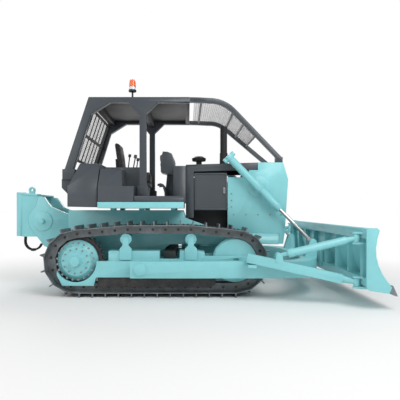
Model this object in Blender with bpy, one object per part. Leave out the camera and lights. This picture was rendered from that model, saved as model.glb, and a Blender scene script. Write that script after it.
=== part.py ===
"""Crawler bulldozer with a winch, a roll-over canopy with brush guards, and a straight-set angle blade.

Metres, +X towards the blade, +Y to the machine's left, +Z up. Lengths along the machine are measured from
the sprocket axle, and the last step moves everything so that X = 0 is the middle of the overall length.
"""

from math import atan2, cos, hypot, pi, radians, sin, sqrt

import bmesh
import bpy
from mathutils import Matrix, Vector

RIGHT, LEFT = -1, 1
SIDES = ((RIGHT, "right"), (LEFT, "left"))
GAP = 0.001  # between pieces that touch
OVERLAP = 0.01  # how far welded plates run into each other

# ---- undercarriage ----
WHEELBASE = 2.67  # sprocket axle to idler axle
TRACK_GAUGE = 2.0
SHOE_WIDTH = 0.56
SHOE_PITCH = 0.216
SHOE_THICKNESS = 0.016
GROUSER_HEIGHT = 0.064
GROUSER_THICKNESS = 0.020
END_STAND = 0.0006  # how much lower the end grousers stand than those between them
LINK_HEIGHT = 0.129
LINK_WIDTH = 0.050
LINK_SPACING = 0.170  # between the middles of a link pair
PIN_RADIUS_ON_WHEEL = 0.446  # from a wheel's axle to the track pins
CARRIER_RADIUS = 0.098
CARRIER_X = (0.82, 1.92)
CARRIER_Z = 0.950
ROLLER_RADIUS = 0.104
ROLLER_COUNT = 6
ROLLER_FIRST_X = 0.50
ROLLER_SPACING = 0.335

TRACK_Y = TRACK_GAUGE / 2
SHOE_TO_PIN = SHOE_THICKNESS + LINK_HEIGHT / 2
RAIL_RADIUS = sqrt(PIN_RADIUS_ON_WHEEL**2 - (SHOE_PITCH / 2) ** 2) - LINK_HEIGHT / 2
AXLE_Z = GROUSER_HEIGHT + SHOE_TO_PIN + PIN_RADIUS_ON_WHEEL
RAIL_Z = GROUSER_HEIGHT + SHOE_THICKNESS + LINK_HEIGHT

# ---- hull, engine and radiator guard ----
HULL_HALF_WIDTH = 0.60
HULL_REAR_X = -0.30
HULL_TOP_Z = 1.44
BELLY_Z = 0.45
ENGINE_BELLY_Z = 0.82
WALL = 0.012
HOOD_HALF_WIDTH = 0.58
HOOD_REAR_X = 1.83
HOOD_REAR_Z = 2.27
HOOD_FRONT_Z = 2.31
HOOD_TOP_THICKNESS = 0.13
GUARD_HALF_WIDTH = 0.60
GUARD_REAR_X = 2.59
GUARD_STEP_X = 3.14  # the hood's cover ends here and the guard's own top begins
GUARD_FRONT_TOP_X = 3.60
GUARD_KNEE_X = 3.69
GUARD_KNEE_Z = 2.00
GUARD_FRONT_LOW_X = 3.60
DOOR_HEIGHT = 0.68
DOOR_THICKNESS = 0.030
DOOR_EDGE_GAP = 0.008

# ---- deck, tanks and seat ----
DECK_REAR_X = 0.36
DECK_FRONT_X = 1.80
DECK_HALF_WIDTH = 1.22
DECK_TOP_Z = 1.578
DECK_THICKNESS = 0.104
TANK_REAR_X = -0.16
TANK_HALF_WIDTH = 1.15
TANK_LOW_Z = 1.50
TANK_SHOULDER_Z = 1.85
TANK_TOP_Z = 2.25
SIDE_BOX_LENGTH = 0.60
SIDE_BOX_TOP_Z = 1.846
STEP_TOP_Z = 1.68
STEP_REAR_X = 0.97
SEAT_REAR_X = 0.58
SEAT_TOP_Z = 2.13
CONSOLE_TOP_Z = 2.22

# ---- roll-over canopy ----
CANOPY_HALF_WIDTH = 0.975
CANOPY_TOP_Z = 3.395
CANOPY_REAR_X = 0.154
CANOPY_FRONT_X = 1.90
POST_DEPTH = 0.115
POST_WIDTH = 0.120
FRONT_POST_X = 1.09
FRONT_POST_FOOT_Z = 1.70
REAR_POST_FOOT_X = -0.265
REAR_POST_FOOT_Z = 2.13
ROOF_BEAM_HEIGHT = 0.085
RAIL_SIZE = 0.080
BEACON_X, BEACON_Y = 0.862, -0.60
BEACON_HEIGHT = 0.425

# ---- winch ----
WINCH_REAR_X = -1.33
WINCH_HALF_WIDTH = 0.45
WINCH_PLATE = 0.050
DRUM_X = -0.82
DRUM_Z = 1.235
DRUM_RADIUS = 0.150
DRUM_FLANGE_RADIUS = 0.235
EYE_X = -1.19

# ---- blade, push frame and lift cylinders ----
TRUNNION_X = 1.105
TRUNNION_Z = 0.500
ARM_INNER_Y = 1.36
ARM_OUTER_Y = 1.50
ARM_LOW_Z = 0.354
ARM_TOP_Z = 0.623
CROSS_REAR_X = 3.88
CROSS_FRONT_X = 4.18
BLADE_WIDTH = 4.365
BLADE_REAR_X = 4.42
BLADE_TOP_Z = 1.187
BLADE_TIP_X = 4.87
BLADE_TIP_Z = 0.211
END_PLATE = 0.030
LIFT_Y = 0.75
YOKE_X, YOKE_Z = 3.098, 1.872
BLADE_PIVOT = (TRUNNION_X, 0, TRUNNION_Z)
ROD_EYE_X, ROD_EYE_Z = 4.075, 0.872
BARREL_RADIUS = 0.068
BARREL_ABOVE_YOKE = 0.74
BARREL_BELOW_YOKE = 0.575
ROD_RADIUS = 0.033
ROD_INSIDE = 0.53
EYE_RADIUS = 0.055
EYE_WIDTH = 0.070

ORIGIN_X = (WINCH_REAR_X + BLADE_TIP_X) / 2

for old in list(bpy.data.objects):
    bpy.data.objects.remove(old, do_unlink=True)
SCENE = bpy.context.scene.collection


# ---- materials ----
def paint(name, colour, roughness, metallic=0.0):
    """A Principled material; colour is linear RGB."""
    made = bpy.data.materials.new(name)
    made.use_nodes = True
    shader = made.node_tree.nodes["Principled BSDF"]
    shader.inputs["Base Color"].default_value = (*colour, 1)
    shader.inputs["Roughness"].default_value = roughness
    shader.inputs["Metallic"].default_value = metallic
    return made


BODY_PAINT = paint("body_paint", (0.25, 0.60, 0.62), 0.35)
DARK_PAINT = paint("dark_paint", (0.12, 0.14, 0.16), 0.45)
BLACK_PAINT = paint("black_paint", (0.02, 0.02, 0.02), 0.5)
TRACK_STEEL = paint("track_steel", (0.16, 0.16, 0.16), 0.5, 0.7)
CHROME = paint("chrome", (0.75, 0.74, 0.72), 0.15, 1.0)
SEAT_VINYL = paint("seat_vinyl", (0.03, 0.03, 0.03), 0.6)
LAMP_PLASTIC = paint("lamp_plastic", (0.90, 0.20, 0.02), 0.3)


# ---- shapes: each returns a closed bmesh ----
def prism(outline, low, high, axis="y"):
    """An outline drawn square to an axis, carried from low to high along it.
    Outline points are (x, z) for axis y, (y, z) for axis x and (x, y) for axis z."""
    place = {"x": lambda a, b, c: (c, a, b), "y": lambda a, b, c: (a, c, b), "z": lambda a, b, c: (a, b, c)}[axis]
    bm = bmesh.new()
    ends = [[bm.verts.new(place(a, b, c)) for a, b in outline] for c in (low, high)]
    bm.faces.new(ends[0])
    bm.faces.new(ends[1])
    bmesh.ops.bridge_loops(bm, edges=[e for e in bm.edges])
    bmesh.ops.recalc_face_normals(bm, faces=bm.faces)
    return bm


def block(x0, x1, y0, y1, z0, z1):
    return prism([(x0, z0), (x1, z0), (x1, z1), (x0, z1)], y0, y1)


def cylinder(radius, start, end, segments=20, end_radius=None):
    """A round bar or cone from one point to another."""
    start, end = Vector(start), Vector(end)
    along = end - start
    bm = bmesh.new()
    bmesh.ops.create_cone(bm, cap_ends=True, segments=segments, radius1=radius,
                          radius2=radius if end_radius is None else end_radius, depth=along.length)
    turn = along.to_track_quat("Z", "Y").to_matrix().to_4x4()
    bmesh.ops.transform(bm, matrix=Matrix.Translation((start + end) / 2) @ turn, verts=bm.verts)
    return bm


def ring(outer, inner, y0, y1, x=0.0, z=0.0, segments=24):
    """A flat ring whose hole runs along Y."""
    bm = bmesh.new()
    loops = []
    for radius, y in ((outer, y0), (outer, y1), (inner, y1), (inner, y0)):
        loops.append([bm.verts.new((x + radius * cos(2 * pi * i / segments), y,
                                    z + radius * sin(2 * pi * i / segments))) for i in range(segments)])
    for a, b in zip(loops, loops[1:] + loops[:1]):
        for i in range(segments):
            bm.faces.new((a[i], a[(i + 1) % segments], b[(i + 1) % segments], b[i]))
    bmesh.ops.recalc_face_normals(bm, faces=bm.faces)
    return bm


def swept(path, section):
    """A section carried along a path that bends up and down; its first measure lies across the machine."""
    points = [Vector(p) for p in path]
    bm = bmesh.new()
    rows = []
    for i, point in enumerate(points):
        before = (point - points[i - 1]).normalized() if i else None
        after = (points[i + 1] - point).normalized() if i < len(points) - 1 else None
        along = ((before or after) + (after or before)).normalized()
        across = (Vector((0, 1, 0)) - along * along.y).normalized()
        up = across.cross(along)
        stretch = 1 / max(0.5, along.dot(after or before))
        rows.append([bm.verts.new(point + across * a + up * b * stretch) for a, b in section])
    for low, high in zip(rows, rows[1:]):
        for i in range(len(section)):
            j = (i + 1) % len(section)
            bm.faces.new((low[i], low[j], high[j], high[i]))
    bm.faces.new(rows[0])
    bm.faces.new(rows[-1])
    bmesh.ops.recalc_face_normals(bm, faces=bm.faces)
    return bm


def swept_bar(path, width, height):
    return swept(path, [(a * width / 2, b * height / 2) for a, b in ((-1, -1), (1, -1), (1, 1), (-1, 1))])


def swept_tube(path, radius, segments=8):
    return swept(path, arc(0, 0, radius, 0, 360 - 360 / segments, segments - 1))


def arc(x, z, radius, from_degrees, to_degrees, steps):
    """Points on a circle arc, both ends included."""
    turn = [radians(from_degrees + (to_degrees - from_degrees) * i / steps) for i in range(steps + 1)]
    return [(x + radius * cos(a), z + radius * sin(a)) for a in turn]


# ---- objects ----
def as_object(name, bm):
    mesh = bpy.data.meshes.new(name)
    bm.to_mesh(mesh)
    bm.free()
    return bpy.data.objects.new(name, mesh)


def helpers(name, shapes):
    """Shapes that a Boolean uses, kept out of the model."""
    group = bpy.data.collections.new(name)
    SCENE.children.link(group)
    for i, bm in enumerate(shapes):
        helper = as_object(f"{name}_{i}", bm)
        helper.hide_render = True
        helper.display_type = "WIRE"
        group.objects.link(helper)
    return group


def node(name, material, shapes, cuts=(), pivot=(0, 0, 0), smooth=True):
    """One named piece: the first shape, welded to the others, less the cuts, with its origin on its pivot."""
    bmesh.ops.translate(shapes[0], verts=shapes[0].verts, vec=-Vector(pivot))
    made = as_object(name, shapes[0])
    made.location = pivot
    SCENE.objects.link(made)
    made.data.materials.append(material)
    for kind, group in (("UNION", shapes[1:]), ("DIFFERENCE", cuts)):
        if group:
            modifier = made.modifiers.new(kind.title(), "BOOLEAN")
            modifier.operation = kind
            modifier.solver = "MANIFOLD"
            modifier.operand_type = "COLLECTION"
            modifier.collection = helpers(f"{name}_{kind.lower()}", group)
    if smooth:
        made.data.shade_smooth()
        made.data.set_sharp_from_angle(angle=radians(30))
    return made


def both_y(side, y0, y1):
    """Two places across the machine on one side, lowest first."""
    return sorted((side * y0, side * y1))


# ---- tracks ----
def circle_tangent(a, b):
    """Where the outer line over two circles (x, z, radius) touches each, going forward above them."""
    dx, dz, dr = b[0] - a[0], b[1] - a[1], a[2] - b[2]
    length = hypot(dx, dz)
    angle = atan2(dz, dx) + atan2(sqrt(length**2 - dr**2), dr)
    return [(c[0] + c[2] * cos(angle), c[1] + c[2] * sin(angle), angle) for c in (a, b)]


def pin_line():
    """The closed line through the track's pins as (x, z) points a pitch apart, going forward along the top."""
    sprocket = (0, AXLE_Z, PIN_RADIUS_ON_WHEEL)
    idler = (WHEELBASE, AXLE_Z, PIN_RADIUS_ON_WHEEL)
    over = [sprocket] + [(x, CARRIER_Z, CARRIER_RADIUS + LINK_HEIGHT / 2) for x in CARRIER_X] + [idler]
    line = []
    tangents = [circle_tangent(a, b) for a, b in zip(over, over[1:])]
    arrive = 3 * pi / 2
    for i, wheel in enumerate(over):
        leave = tangents[i][0][2] if i < len(tangents) else -pi / 2
        steps = 48 if i in (0, len(over) - 1) else 4
        line += [(wheel[0] + wheel[2] * cos(arrive + (leave - arrive) * k / steps),
                  wheel[1] + wheel[2] * sin(arrive + (leave - arrive) * k / steps)) for k in range(steps + 1)]
        arrive = tangents[i][1][2] if i < len(tangents) else None
    lengths = [hypot(b[0] - a[0], b[1] - a[1]) for a, b in zip(line, line[1:] + line[:1])]
    count = round(sum(lengths) / SHOE_PITCH)
    pitch = sum(lengths) / count
    points, travelled, wanted = [], 0.0, pitch / 2
    for (a, b), length in zip(zip(line, line[1:] + line[:1]), lengths):
        while travelled + length >= wanted and len(points) < count:
            share = (wanted - travelled) / length
            points.append((a[0] + (b[0] - a[0]) * share, a[1] + (b[1] - a[1]) * share))
            wanted += pitch
        travelled += length
    return points


def offset_loop(points, distance):
    """The loop's sides moved outward by a distance, which is inward if it is negative."""
    moved = []
    for i, point in enumerate(points):
        arrive = (Vector(point) - Vector(points[i - 1])).normalized()
        leave = (Vector(points[(i + 1) % len(points)]) - Vector(point)).normalized()
        along = (arrive + leave).normalized()
        mitred = distance / along.dot(arrive)
        moved.append((point[0] - along.y * mitred, point[1] + along.x * mitred))
    return moved


def ring_between(outer, inner, y0, y1):
    """A band with the outer loop outside and the inner loop as its hole."""
    bm = bmesh.new()
    for loop in (outer, inner):
        a = [bm.verts.new((x, y0, z)) for x, z in loop]
        b = [bm.verts.new((x, y1, z)) for x, z in loop]
        for i in range(len(loop)):
            j = (i + 1) % len(loop)
            bm.faces.new((a[i], a[j], b[j], b[i]))
    for y in (y0, y1):
        edges = [e for e in bm.edges if all(abs(v.co.y - y) < 1e-6 for v in e.verts)]
        bmesh.ops.triangle_fill(bm, edges=edges, use_beauty=False, use_dissolve=False)
    bmesh.ops.recalc_face_normals(bm, faces=bm.faces)
    return bm


def shoe_outline(points):
    """The outside of the shoes, with a grouser on each. The loop stands on its end grousers."""
    outside = offset_loop(points, SHOE_TO_PIN)
    outline = []
    for i, (x, z) in enumerate(outside):
        after = outside[(i + 1) % len(outside)]
        along = Vector((after[0] - x, after[1] - z)).normalized()
        out = Vector((-along.y, along.x))
        foot = Vector((x, z)) + along * GROUSER_THICKNESS
        for a, b in ((0, 0), (0, GROUSER_HEIGHT), (GROUSER_THICKNESS, GROUSER_HEIGHT), (GROUSER_THICKNESS, 0)):
            outline.append(tuple(foot + along * a + out * b))
    ground = min(z for _, z in outline)
    standing = [x for x, z in outline if z < ground + END_STAND / 2]
    rear, front = min(standing), max(standing)
    return [(x, z + END_STAND if z < ground + END_STAND / 2 and rear < x < front else z) for x, z in outline]


def tracks():
    pins = pin_line()
    shoes_inner = offset_loop(pins, LINK_HEIGHT / 2)
    links_outer = offset_loop(pins, LINK_HEIGHT / 2 + SHOE_THICKNESS / 2)
    rail = offset_loop(pins, -LINK_HEIGHT / 2)
    outline = shoe_outline(pins)
    for side, name in SIDES:
        middle = side * TRACK_Y
        shoes = ring_between(outline, shoes_inner, middle - SHOE_WIDTH / 2, middle + SHOE_WIDTH / 2)
        links = [ring_between(links_outer, rail, middle + k * LINK_SPACING / 2 - LINK_WIDTH / 2,
                              middle + k * LINK_SPACING / 2 + LINK_WIDTH / 2) for k in (-1, 1)]
        node(f"track_{name}", TRACK_STEEL, [shoes, *links], smooth=False)


# ---- sprockets, final drives and idlers ----
SPROCKET_TEETH = 27
SPROCKET_WIDTH = 0.072
SPROCKET_TIP = PIN_RADIUS_ON_WHEEL + 0.012
SPROCKET_ROOT = PIN_RADIUS_ON_WHEEL - 0.038
DRIVE_SHAFT_RADIUS = 0.200
DRIVE_COVER_RADIUS = 0.345
DRIVE_COVER_Y = 1.225
IDLER_RADIUS = RAIL_RADIUS - 0.006
IDLER_FLANGE_RADIUS = IDLER_RADIUS + 0.018
IDLER_SHAFT_RADIUS = 0.060


def toothed_wheel():
    """The sprocket's outline: a straight-sided tooth between root arcs."""
    outline = []
    for k in range(SPROCKET_TEETH):
        for share, radius in ((-0.26, SPROCKET_ROOT), (-0.10, SPROCKET_TIP), (0.10, SPROCKET_TIP), (0.26, SPROCKET_ROOT)):
            angle = 2 * pi * (k + share) / SPROCKET_TEETH
            outline.append((radius * cos(angle), AXLE_Z + radius * sin(angle)))
    return outline


def wheels():
    for side, name in SIDES:
        middle = side * TRACK_Y
        low, high = middle - SPROCKET_WIDTH / 2, middle + SPROCKET_WIDTH / 2
        hub = cylinder(DRIVE_SHAFT_RADIUS + GAP, (0, low - 0.1, AXLE_Z), (0, high + 0.1, AXLE_Z), 24)
        node(f"sprocket_{name}", BODY_PAINT, [prism(toothed_wheel(), low, high)], [hub])

        def drum(radius, y0, y1, end_radius=None, segments=32):
            return cylinder(radius, (0, side * y0, AXLE_Z), (0, side * y1, AXLE_Z), segments, end_radius)

        sprocket_in, sprocket_out = TRACK_Y - SPROCKET_WIDTH / 2 - GAP, TRACK_Y + SPROCKET_WIDTH / 2 + GAP
        node(f"final_drive_{name}", BODY_PAINT, [
            drum(DRIVE_SHAFT_RADIUS, sprocket_in - OVERLAP, sprocket_out + OVERLAP, segments=24),
            drum(0.30, HULL_HALF_WIDTH + GAP, sprocket_in - 0.06),
            drum(DRIVE_COVER_RADIUS, sprocket_in - 0.07, sprocket_in),
            drum(DRIVE_COVER_RADIUS, sprocket_out, sprocket_out + 0.05),
            drum(DRIVE_COVER_RADIUS - 0.002, sprocket_out + 0.045, DRIVE_COVER_Y - 0.03, DRIVE_COVER_RADIUS - 0.10),
            drum(0.100, DRIVE_COVER_Y - 0.04, DRIVE_COVER_Y + 0.075, 0.080, 20),
        ])

        def idler_drum(radius, y0, y1, segments=32):
            return cylinder(radius, (WHEELBASE, middle + y0, AXLE_Z), (WHEELBASE, middle + y1, AXLE_Z), segments)

        node(f"idler_{name}", BODY_PAINT, [
            idler_drum(IDLER_RADIUS, -0.115, 0.115),
            idler_drum(IDLER_FLANGE_RADIUS, -0.050, 0.050),
            idler_drum(IDLER_SHAFT_RADIUS, -0.165, 0.165, 16),
        ])


# ---- track frames with carrier rollers, and the rollers below ----
FRAME_INNER = 0.190  # half width of the frame's lower box, about the track's middle
FRAME_UPPER = 0.130
FRAME_LOW_Z = 0.435
FRAME_STEP_Z = 0.590
FRAME_TOP_Z = 0.755
FRAME_REAR_X = 0.50
FRAME_FRONT_X = 2.20
CHEEK_THICKNESS = 0.030
CHEEK_Y = 0.200  # inner face of a cheek from the track's middle
GUARD_PLATE = 0.018
GUARD_LOW_Z = 0.150
EQUALIZER_X = 1.56
EQUALIZER_HALF = 0.10
SADDLE_HALF = 0.17


def track_frames():
    for side, name in SIDES:
        middle = side * TRACK_Y
        lower = block(FRAME_REAR_X, FRAME_FRONT_X, middle - FRAME_INNER, middle + FRAME_INNER, FRAME_LOW_Z, FRAME_STEP_Z)
        upper = [(FRAME_REAR_X + 0.03, FRAME_STEP_Z - OVERLAP), (FRAME_FRONT_X - 0.05, FRAME_STEP_Z - OVERLAP),
                 (FRAME_FRONT_X - 0.05, FRAME_TOP_Z - 0.02), (FRAME_FRONT_X - 0.14, FRAME_TOP_Z),
                 (EQUALIZER_X + SADDLE_HALF, FRAME_TOP_Z), (EQUALIZER_X + SADDLE_HALF, FRAME_STEP_Z + 0.03),
                 (EQUALIZER_X - SADDLE_HALF, FRAME_STEP_Z + 0.03), (EQUALIZER_X - SADDLE_HALF, FRAME_TOP_Z),
                 (FRAME_REAR_X + 0.03, FRAME_TOP_Z)]
        shapes = [lower, prism(upper, middle - FRAME_UPPER, middle + FRAME_UPPER)]
        for face in (-1, 1):
            y0, y1 = sorted((middle + face * CHEEK_Y, middle + face * (CHEEK_Y + CHEEK_THICKNESS)))
            outer = face == side
            rear = -0.31 if outer else FRAME_REAR_X
            low_rear = [(rear, 0.36), (rear + 0.09, 0.185), (0.30, 0.185), (0.34, 0.325)] if outer else [(rear, 0.325)]
            cheek = [*low_rear, (WHEELBASE + 0.20, 0.325), (WHEELBASE + 0.20, AXLE_Z + 0.09),
                     (FRAME_FRONT_X - 0.06, AXLE_Z + 0.09), (FRAME_FRONT_X - 0.10, FRAME_STEP_Z + 0.004), (rear, FRAME_STEP_Z + 0.004)]
            y0, y1 = (y0 - OVERLAP * 2, y1) if y0 > middle else (y0, y1 + OVERLAP * 2)
            shapes.append(prism(cheek, y0, y1))
        for x in CARRIER_X:
            foot = [(x - 0.10, FRAME_TOP_Z - 0.15), (x + 0.10, FRAME_TOP_Z - 0.15), (x + 0.10, FRAME_TOP_Z + 0.04),
                    (x + 0.05, FRAME_TOP_Z + 0.09), *arc(x, CARRIER_Z, 0.05, -10, 190, 8), (x - 0.05, FRAME_TOP_Z + 0.09),
                    (x - 0.10, FRAME_TOP_Z + 0.04)]
            y0, y1 = both_y(side, TRACK_Y + 0.115, TRACK_Y + 0.155)
            shapes.append(prism(foot, y0, y1))
            shapes.append(cylinder(CARRIER_RADIUS - 0.003, (x, middle - 0.125, CARRIER_Z), (x, middle + 0.125, CARRIER_Z), 20))
        shapes.append(cylinder(0.070 - GAP, (TRUNNION_X, side * (TRACK_Y + CHEEK_Y), TRUNNION_Z),
                               (TRUNNION_X, side * (ARM_OUTER_Y - 0.012), TRUNNION_Z), 20))
        gaps = [
            cylinder(IDLER_FLANGE_RADIUS + 0.012, (WHEELBASE, middle - CHEEK_Y + 0.001, AXLE_Z),
                     (WHEELBASE, middle + CHEEK_Y - 0.001, AXLE_Z), 32),
            cylinder(IDLER_SHAFT_RADIUS + GAP, (WHEELBASE, middle - 0.3, AXLE_Z), (WHEELBASE, middle + 0.3, AXLE_Z), 16),
            cylinder(DRIVE_COVER_RADIUS + 0.006, (0, side * (HULL_HALF_WIDTH + 0.02), AXLE_Z), (0, side * (DRIVE_COVER_Y + 0.03), AXLE_Z), 32),
        ]
        node(f"track_frame_{name}", BODY_PAINT, shapes, gaps)

        guards = []
        last = ROLLER_FIRST_X + ROLLER_SPACING * (ROLLER_COUNT - 1)
        plate = [(ROLLER_FIRST_X - 0.14, 0.322), (ROLLER_FIRST_X - 0.14, GUARD_LOW_Z + 0.02), (ROLLER_FIRST_X - 0.10, GUARD_LOW_Z),
                 (last + 0.06, GUARD_LOW_Z), (last + 0.16, GUARD_LOW_Z + 0.05), (last + 0.16, 0.322)]
        for face in (-1, 1):
            y0, y1 = sorted((middle + face * 0.165, middle + face * (0.165 + GUARD_PLATE)))
            guards.append(prism(plate, y0, y1))
        for i in range(ROLLER_COUNT):
            x, z = ROLLER_FIRST_X + ROLLER_SPACING * i, RAIL_Z + ROLLER_RADIUS + GAP
            guards.append(cylinder(ROLLER_RADIUS, (x, middle - 0.130, z), (x, middle + 0.130, z), 18))
            guards.append(cylinder(0.040, (x, middle - 0.175, z), (x, middle + 0.175, z), 12))
        node(f"track_rollers_{name}", BODY_PAINT, guards)

    half = TRACK_Y + FRAME_UPPER * 0.6
    node("equalizer_bar", BLACK_PAINT, [
        block(EQUALIZER_X - EQUALIZER_HALF, EQUALIZER_X + EQUALIZER_HALF, -half, half, FRAME_STEP_Z + 0.03 + GAP, 0.745),
    ])


# ---- hull ----
BELLY_RISE_X = (1.00, 1.55)
HULL_FRONT_X = 3.52
POWERTRAIN_MARGIN = 0.05


def hull():
    low_rise, high_rise = BELLY_RISE_X
    side_outline = [(HULL_REAR_X, BELLY_Z + 0.10), (HULL_REAR_X + 0.12, BELLY_Z), (low_rise, BELLY_Z), (high_rise, ENGINE_BELLY_Z),
                    (HULL_FRONT_X, ENGINE_BELLY_Z), (HULL_FRONT_X, 1.02), (GUARD_REAR_X, 1.02), (HOOD_REAR_X, 1.30),
                    (HOOD_REAR_X - 0.05, HULL_TOP_Z), (HULL_REAR_X, HULL_TOP_Z)]
    inside = [(HULL_REAR_X + 0.05, BELLY_Z + 0.08), (low_rise, BELLY_Z + 0.04), (high_rise, ENGINE_BELLY_Z + 0.04),
              (HULL_FRONT_X + 0.1, ENGINE_BELLY_Z + 0.04), (HULL_FRONT_X + 0.1, 1.6), (HOOD_REAR_X - 0.30, 1.6),
              (HOOD_REAR_X - 0.30, HULL_TOP_Z - 0.06), (HULL_REAR_X + 0.05, HULL_TOP_Z - 0.06)]
    wall = 0.06
    node("main_frame", BODY_PAINT, [prism(side_outline, -HULL_HALF_WIDTH, HULL_HALF_WIDTH)],
         [prism(inside, -HULL_HALF_WIDTH + wall, HULL_HALF_WIDTH - wall)])
    node("engine_block", BLACK_PAINT, [
        block(HOOD_REAR_X + 0.05, GUARD_REAR_X + 0.35, -0.33, 0.33, ENGINE_BELLY_Z + 0.06, HOOD_REAR_Z - HOOD_TOP_THICKNESS - 0.22)])
    node("transmission_case", BLACK_PAINT, [
        block(HULL_REAR_X + 0.09, BELLY_RISE_X[0] + 0.05, -0.48, 0.48, BELLY_Z + 0.10, HULL_TOP_Z - 0.10)])


# ---- engine hood, its doors, and the radiator guard ----
COWL_X = 1.60
DOOR_REAR_X = 1.985
DOOR_LOW_Z = 1.44
FRAME_BAR = 0.03


def hood():
    inner = HOOD_HALF_WIDTH - DOOR_THICKNESS - 0.004
    slope = (HOOD_FRONT_Z - HOOD_REAR_Z) / (GUARD_STEP_X - HOOD_REAR_X)

    def top(x):
        return HOOD_REAR_Z + slope * (x - HOOD_REAR_X)

    cover = [(HOOD_REAR_X, top(HOOD_REAR_X) - HOOD_TOP_THICKNESS), (GUARD_STEP_X, top(GUARD_STEP_X) - HOOD_TOP_THICKNESS),
             (GUARD_STEP_X, top(GUARD_STEP_X)), (HOOD_REAR_X, top(HOOD_REAR_X))]
    hollow = [(HOOD_REAR_X - 0.1, top(HOOD_REAR_X) - HOOD_TOP_THICKNESS - 0.01), (GUARD_STEP_X + 0.1, top(GUARD_STEP_X) - HOOD_TOP_THICKNESS - 0.01),
              (GUARD_STEP_X + 0.1, top(GUARD_STEP_X) - WALL), (HOOD_REAR_X - 0.1, top(HOOD_REAR_X) - WALL)]
    posts = [block(HOOD_REAR_X, DOOR_REAR_X - DOOR_EDGE_GAP, *both_y(side, inner - 0.03, HOOD_HALF_WIDTH), 1.30 + GAP, HOOD_REAR_Z - 0.05)
             for side, _ in SIDES]
    end_wall = block(HOOD_REAR_X, HOOD_REAR_X + 0.02, -inner, inner, 1.40 + GAP, HOOD_REAR_Z - 0.05)
    node("engine_hood", DARK_PAINT, [prism(cover, -HOOD_HALF_WIDTH, HOOD_HALF_WIDTH), *posts, end_wall],
         [prism(hollow, -inner + 0.03, inner - 0.03)])
    front = GUARD_REAR_X - DOOR_EDGE_GAP
    high = DOOR_LOW_Z + DOOR_HEIGHT
    for side, name in SIDES:
        y0, y1 = both_y(side, HOOD_HALF_WIDTH - DOOR_THICKNESS, HOOD_HALF_WIDTH)
        leaf = [(DOOR_REAR_X, DOOR_LOW_Z), (front, DOOR_LOW_Z), (front, high), (DOOR_REAR_X, high)]
        y_in, y_out = both_y(side, HOOD_HALF_WIDTH - 0.012, HOOD_HALF_WIDTH + 0.01)
        recess = block(DOOR_REAR_X + FRAME_BAR, front - FRAME_BAR, y_in, y_out, DOOR_LOW_Z + FRAME_BAR, high - FRAME_BAR)
        node(f"engine_door_{name}", DARK_PAINT, [prism(leaf, y0, y1)], [recess],
             pivot=(DOOR_REAR_X, side * HOOD_HALF_WIDTH, 0))


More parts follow.
